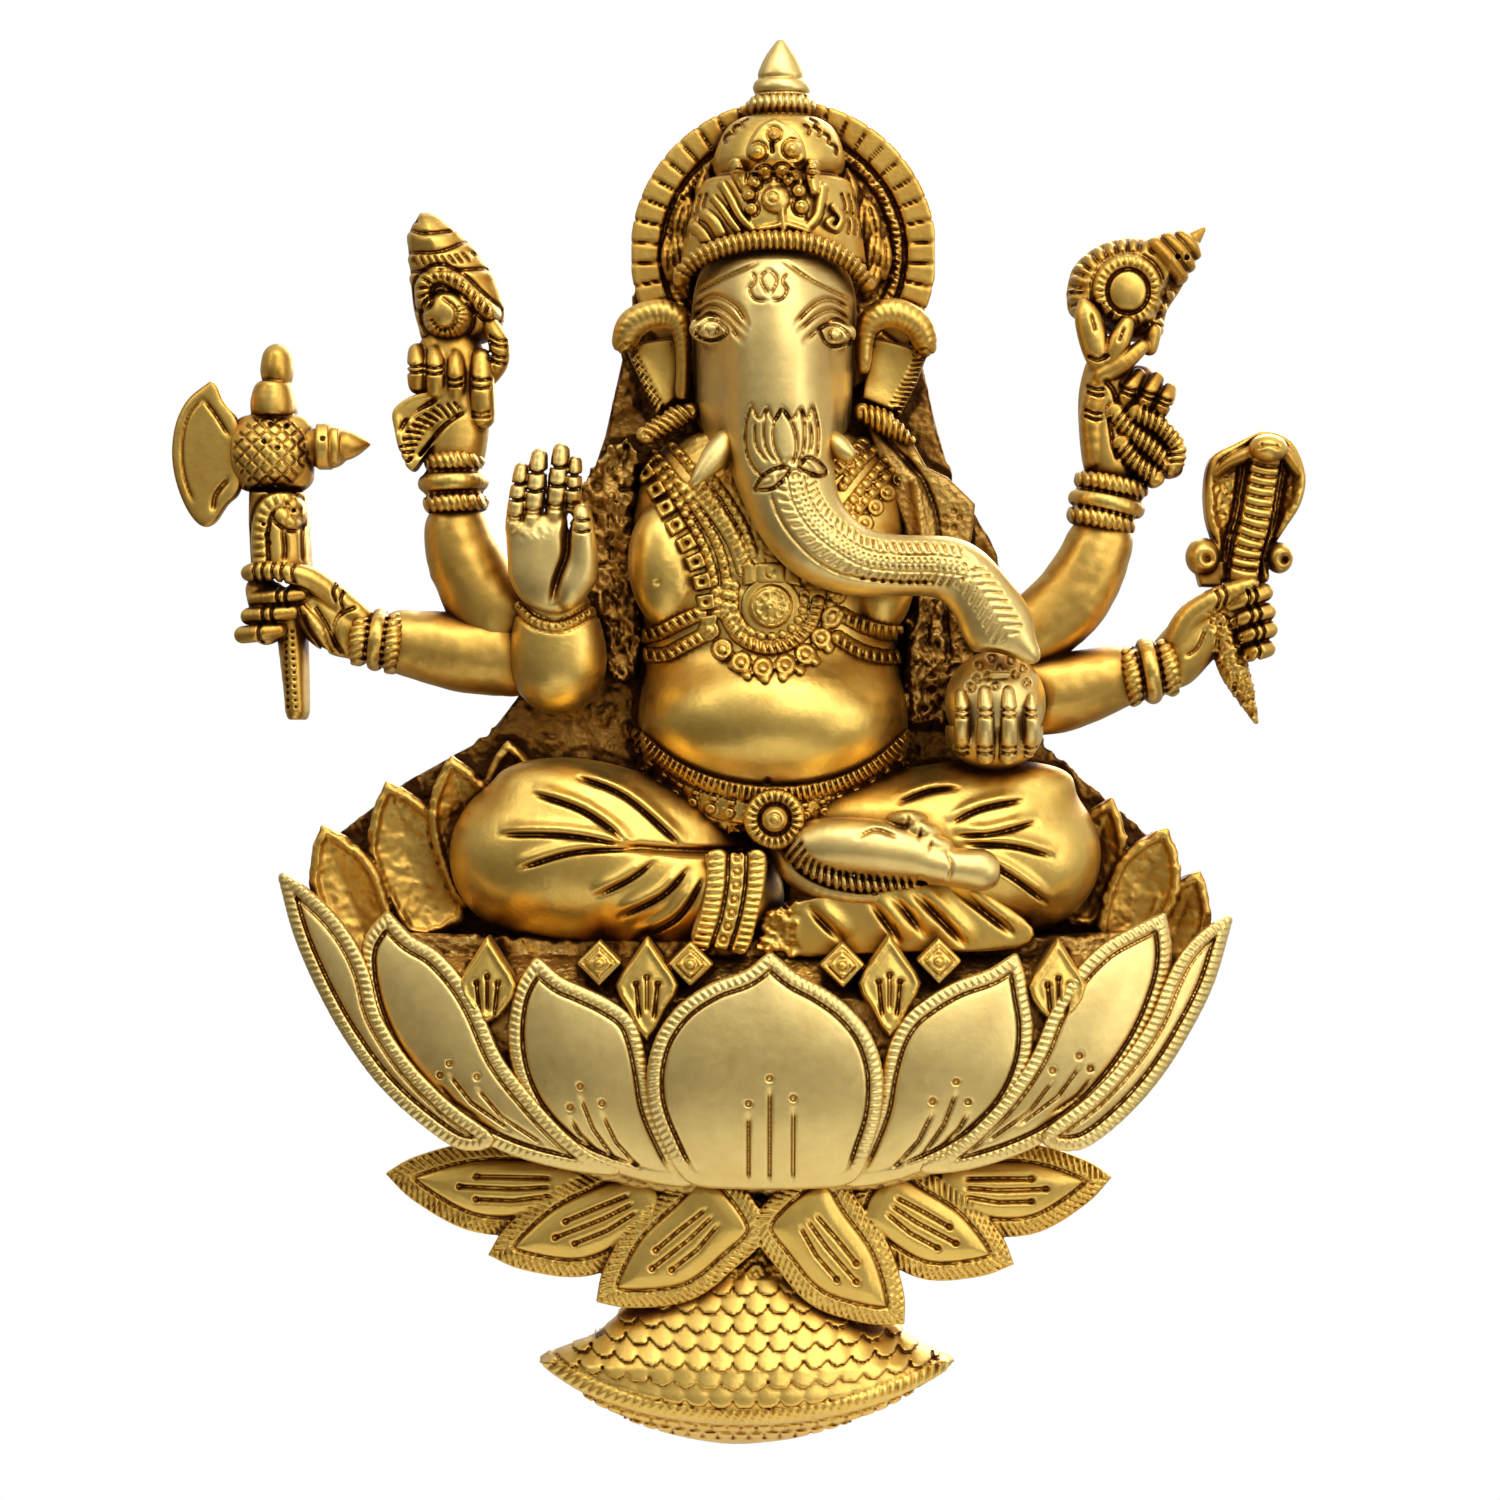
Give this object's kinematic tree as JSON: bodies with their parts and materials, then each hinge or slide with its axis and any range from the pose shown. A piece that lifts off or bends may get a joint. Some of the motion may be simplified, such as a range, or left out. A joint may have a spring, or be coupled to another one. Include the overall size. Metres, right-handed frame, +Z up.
{
  "type": "wall hung ganesha relief",
  "caption": "Cast brass wall relief of an elephant-headed deity with raised hands, seated on a lotus over a scaled mound, with a keyhole hanger behind.",
  "frame": {"origin": "centre of the hanger's round keyhole, on the wall plane", "axes": "+Y into the wall, +Z up, -Y the way the figure faces, so +X is on the viewer's right"},
  "size_m": [0.2468, 0.0498, 0.3049],
  "materials": {
    "brass_satin": "satin",
    "brass_antique": "satin",
    "brass_cast": "matte",
    "brass_strip": "satin",
    "steel_screw": "satin"
  },
  "bodies": {
    "root": {"back_plate": "brass_cast", "plate_left": "brass_antique", "plate_right": "brass_antique", "seat_rail": "brass_antique", "seat_post_left": "brass_antique", "seat_post_middle": "brass_antique", "seat_post_right": "brass_antique", "seat_sill": "brass_antique", "hanger_plate": "brass_strip", "hanger_screws": "steel_screw", "halo": "brass_antique", "crown": "brass_antique", "crown_finial": "brass_satin", "crown_crest": "brass_antique", "brow_band": "brass_antique", "head_and_trunk": "brass_satin", "tusk_left": "brass_satin", "tusk_right": "brass_satin", "ear_left": "brass_antique", "ear_right": "brass_antique", "torso": "brass_antique", "shawl_left": "brass_antique", "shawl_right": "brass_antique", "link_necklace": "brass_antique", "bead_necklace": "brass_antique", "pendant": "brass_antique", "chest_ropes": "brass_antique", "belt": "brass_antique", "belt_buckle": "brass_satin", "arm_conch": "brass_antique", "arm_axe": "brass_antique", "arm_shell": "brass_antique", "arm_cobra": "brass_antique", "bangles_conch": "brass_antique", "bangles_axe": "brass_antique", "bangles_shell": "brass_antique", "bangles_cobra": "brass_antique", "hand_conch": "brass_antique", "hand_axe": "brass_antique", "hand_shell": "brass_antique", "hand_cobra": "brass_antique", "conch": "brass_antique", "axe_haft": "brass_antique", "axe_blade": "brass_antique", "ridged_shell": "brass_antique", "cobra": "brass_antique", "blessing_forearm": "brass_antique", "blessing_hand": "brass_satin", "sweet_hand": "brass_satin", "sweet": "brass_antique", "leg_left": "brass_antique", "leg_right": "brass_antique", "foot": "brass_satin", "hem_bands": "brass_antique", "sash_pleats": "brass_antique", "lotus_bowl": "brass_antique", "petal_middle": "brass_satin", "petal_inner_left": "brass_satin", "petal_inner_right": "brass_satin", "petal_outer_left": "brass_satin", "petal_outer_right": "brass_satin", "petal_edge_left": "brass_satin", "petal_edge_right": "brass_satin", "small_petals": "brass_antique", "rear_petals": "brass_antique", "skirt_petals": "brass_antique", "base_mound": "brass_antique"}
  },
  "joints": []
}
